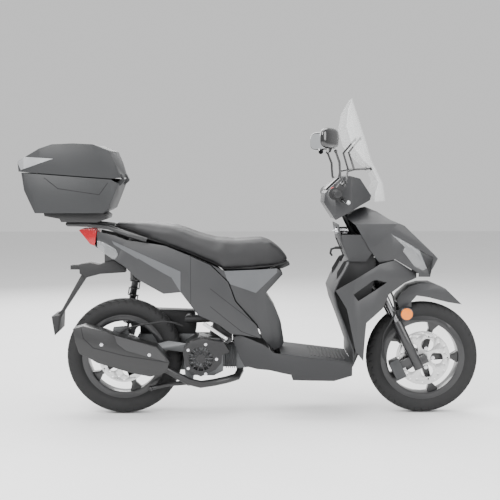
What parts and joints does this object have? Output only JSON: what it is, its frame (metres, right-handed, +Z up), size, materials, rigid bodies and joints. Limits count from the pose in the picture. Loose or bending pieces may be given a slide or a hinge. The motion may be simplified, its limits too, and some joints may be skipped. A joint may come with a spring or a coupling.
{
  "type": "moped scooter",
  "caption": "Step-through moped scooter with large spoked wheels, disc brakes, a long seat, a clear windscreen and a lidded top case on a rear rack.",
  "frame": {"origin": "on the ground, half-way along the machine and on its middle plane", "axes": "+X forward, +Y to the rider's left, +Z up"},
  "size_m": [2.018, 0.7, 1.3983],
  "materials": {
    "frame_paint": "satin black powder coat",
    "bearing_steel": "ground steel",
    "tank_plastic": "moulded black plastic",
    "battery_plastic": "black case",
    "inner_plastic": "grained black plastic",
    "inner_grey_plastic": "grained dark grey plastic",
    "skirt_plastic": "grained dark grey plastic",
    "body_plastic": "matt graphite grey paint on plastic",
    "clear_lens": "clear polycarbonate",
    "red_lens": "red polycarbonate",
    "rack_paint": "satin black powder coat",
    "case_plastic": "grained charcoal plastic",
    "seat_cover": "grained black vinyl",
    "peg_aluminium": "cast and polished",
    "bright_steel": "bright steel",
    "dash_plastic": "dark instrument window",
    "grip_rubber": "ribbed black rubber",
    "black_metal": "gloss black paint",
    "screen_plastic": "clear acrylic",
    "chrome": "hard chrome",
    "lever_aluminium": "cast aluminium",
    "red_button": "red",
    "mirror_shell": "gloss black",
    "slider_paint": "satin black",
    "caliper_metal": "cast aluminium",
    "rim_paint": "satin black",
    "tyre": "tread rubber",
    "disc_steel": "ground stainless steel",
    "engine_aluminium": "cast and painted dark grey",
    "fan_plastic": "black glass-filled plastic",
    "fan_metal": "grey moulded fan",
    "exhaust_paint": "heat-resistant matt black",
    "shock_paint": "black",
    "spring_paint": "gloss black"
  },
  "bodies": {
    "frame": {"frame_tubes": "frame_paint", "head_bearings": "bearing_steel", "fuel_tank": "tank_plastic", "battery": "battery_plastic", "storage_box": "inner_plastic", "foot_board": "inner_grey_plastic", "belly_skirt": "skirt_plastic", "leg_shield": "inner_grey_plastic", "front_apron": "body_plastic", "front_cowl": "body_plastic", "headlight_lens": "clear_lens", "right_side_panel": "body_plastic", "left_side_panel": "body_plastic", "seat_post_cover": "body_plastic", "tail_light": "red_lens", "rear_rack": "rack_paint", "plate_holder": "inner_plastic", "case_base": "case_plastic"},
    "case_lid": {"case_lid": "case_plastic"},
    "seat": {"seat_cushion": "seat_cover", "seat_pan": "inner_plastic"},
    "right_peg": {"right_footpeg": "peg_aluminium"},
    "left_peg": {"left_footpeg": "peg_aluminium"},
    "stand": {"centre_stand": "frame_paint"},
    "hook": {"bag_hook": "inner_plastic"},
    "lock": {"ignition_lock": "bright_steel"},
    "steering": {"steering_stem": "frame_paint", "handlebar": "frame_paint", "handlebar_cover": "body_plastic", "dash_panel": "dash_plastic", "left_grip": "grip_rubber", "switch_housings": "inner_plastic", "mirror_stems": "black_metal", "windscreen": "screen_plastic", "screen_brackets": "black_metal", "fork_tubes": "chrome"},
    "throttle": {"throttle_grip": "grip_rubber"},
    "right_lever": {"right_brake_lever": "lever_aluminium"},
    "left_lever": {"left_brake_lever": "lever_aluminium"},
    "starter": {"starter_button": "red_button"},
    "right_mirror_head": {"right_mirror": "mirror_shell"},
    "left_mirror_head": {"left_mirror": "mirror_shell"},
    "fork_lower": {"fork_sliders": "slider_paint", "front_fender": "body_plastic", "front_caliper": "caliper_metal"},
    "front_wheel": {"front_rim": "rim_paint", "front_tyre": "tyre", "front_disc": "disc_steel"},
    "engine": {"engine_case": "engine_aluminium", "fan_cover": "fan_plastic", "exhaust": "exhaust_paint", "air_filter_box": "inner_plastic", "rear_caliper": "caliper_metal"},
    "fan": {"cooling_fan": "fan_metal"},
    "rear_wheel": {"rear_rim": "rim_paint", "rear_tyre": "tyre", "rear_disc": "disc_steel"},
    "shock_upper": {"shock_body": "shock_paint", "shock_spring": "spring_paint"},
    "shock_lower": {"shock_rod": "chrome"}
  },
  "joints": [
    {"name": "steering_turn", "type": "hinge", "parent": "frame", "child": "steering", "pos_m": [0.51971, 0, 0.65621], "axis": [-0.4384, 0, 0.8988], "range_deg": [-36, 36]},
    {"name": "fork_slide", "type": "slide", "parent": "steering", "child": "fork_lower", "axis": [-0.4384, 0, 0.8988], "range_m": [-0.02, 0.024], "stiffness_N_per_m": 16000, "springref_m": -0.03},
    {"name": "front_wheel_spin", "type": "hinge", "parent": "fork_lower", "child": "front_wheel", "pos_m": [0.759, 0, 0.25], "axis": [0, 1, 0], "continuous": true},
    {"name": "engine_swing", "type": "hinge", "parent": "frame", "child": "engine", "pos_m": [-0.171, 0, 0.372], "axis": [0, 1, 0], "range_deg": [-2.5, 6], "stiffness_Nm_per_rad": 4000, "springref_deg": -3.44},
    {"name": "rear_wheel_spin", "type": "hinge", "parent": "engine", "child": "rear_wheel", "pos_m": [-0.571, 0, 0.258], "axis": [0, 1, 0], "continuous": true},
    {"name": "shock_lean", "type": "hinge", "parent": "frame", "child": "shock_upper", "pos_m": [-0.529, 0.112, 0.608], "axis": [0, 1, 0], "range_deg": [-1.01, 2.44]},
    {"name": "shock_slide", "type": "slide", "parent": "shock_upper", "child": "shock_lower", "axis": [0.1668, 0, 0.986], "range_m": [-0.01798, 0.04314], "deforming": ["shock_spring"]},
    {"name": "fan_spin", "type": "hinge", "parent": "engine", "child": "fan", "pos_m": [-0.227, -0.125, 0.267], "axis": [0, 1, 0], "continuous": true},
    {"name": "stand_swing", "type": "hinge", "parent": "engine", "child": "stand", "pos_m": [-0.283, 0, 0.147], "axis": [0, 1, 0], "range_deg": [-78, 0], "stiffness_Nm_per_rad": 2.5, "springref_deg": 34.38},
    {"name": "throttle_turn", "type": "hinge", "parent": "steering", "child": "throttle", "pos_m": [0.34585, -0.282, 0.9853], "axis": [0, -1, 0], "range_deg": [0, 70], "stiffness_Nm_per_rad": 0.15, "springref_deg": -20.05},
    {"name": "right_brake_pull", "type": "hinge", "parent": "steering", "child": "right_lever", "pos_m": [0.37422, -0.204, 0.96314], "axis": [-0.6157, 0, -0.788], "range_deg": [0, 11], "stiffness_Nm_per_rad": 2.5, "springref_deg": -20.05},
    {"name": "left_brake_pull", "type": "hinge", "parent": "steering", "child": "left_lever", "pos_m": [0.37422, 0.204, 0.96314], "axis": [0.6157, 0, 0.788], "range_deg": [0, 11], "stiffness_Nm_per_rad": 2.5, "springref_deg": -20.05},
    {"name": "starter_press", "type": "slide", "parent": "steering", "child": "starter", "axis": [0.3746, 0, -0.9272], "range_m": [0, 0.0025], "stiffness_N_per_m": 600, "springref_m": -0.002},
    {"name": "right_mirror_tilt", "type": "hinge", "parent": "steering", "child": "right_mirror_head", "pos_m": [0.3489, -0.196, 1.16586], "axis": [0.5736, 0.8192, 0], "range_deg": [-12, 12]},
    {"name": "left_mirror_tilt", "type": "hinge", "parent": "steering", "child": "left_mirror_head", "pos_m": [0.3489, 0.196, 1.16586], "axis": [-0.5736, 0.8192, 0], "range_deg": [-12, 12]},
    {"name": "seat_open", "type": "hinge", "parent": "frame", "child": "seat", "pos_m": [0.153, 0, 0.672], "axis": [0, 1, 0], "range_deg": [0, 70]},
    {"name": "case_open", "type": "hinge", "parent": "frame", "child": "case_lid", "pos_m": [-0.561, 0, 1.042], "axis": [0, 1, 0], "range_deg": [0, 75]},
    {"name": "right_peg_fold", "type": "hinge", "parent": "frame", "child": "right_peg", "pos_m": [-0.119, -0.118, 0.352], "axis": [0.5592, 0, 0.829], "range_deg": [0, 88]},
    {"name": "left_peg_fold", "type": "hinge", "parent": "frame", "child": "left_peg", "pos_m": [-0.119, 0.118, 0.352], "axis": [-0.5592, 0, -0.829], "range_deg": [0, 88]},
    {"name": "hook_turn", "type": "hinge", "parent": "frame", "child": "hook", "pos_m": [0.379, 0, 0.74], "axis": [1, 0, 0], "range_deg": [-90, 90]},
    {"name": "key_turn", "type": "hinge", "parent": "frame", "child": "lock", "pos_m": [0.379, -0.06, 0.822], "axis": [1, 0, 0], "range_deg": [0, 60]}
  ],
  "couplings": [
    {"joint": "shock_lean", "follows": "engine_swing", "ratio": 0.38655},
    {"joint": "shock_slide", "follows": "engine_swing", "m_per_rad": 0.39234}
  ]
}
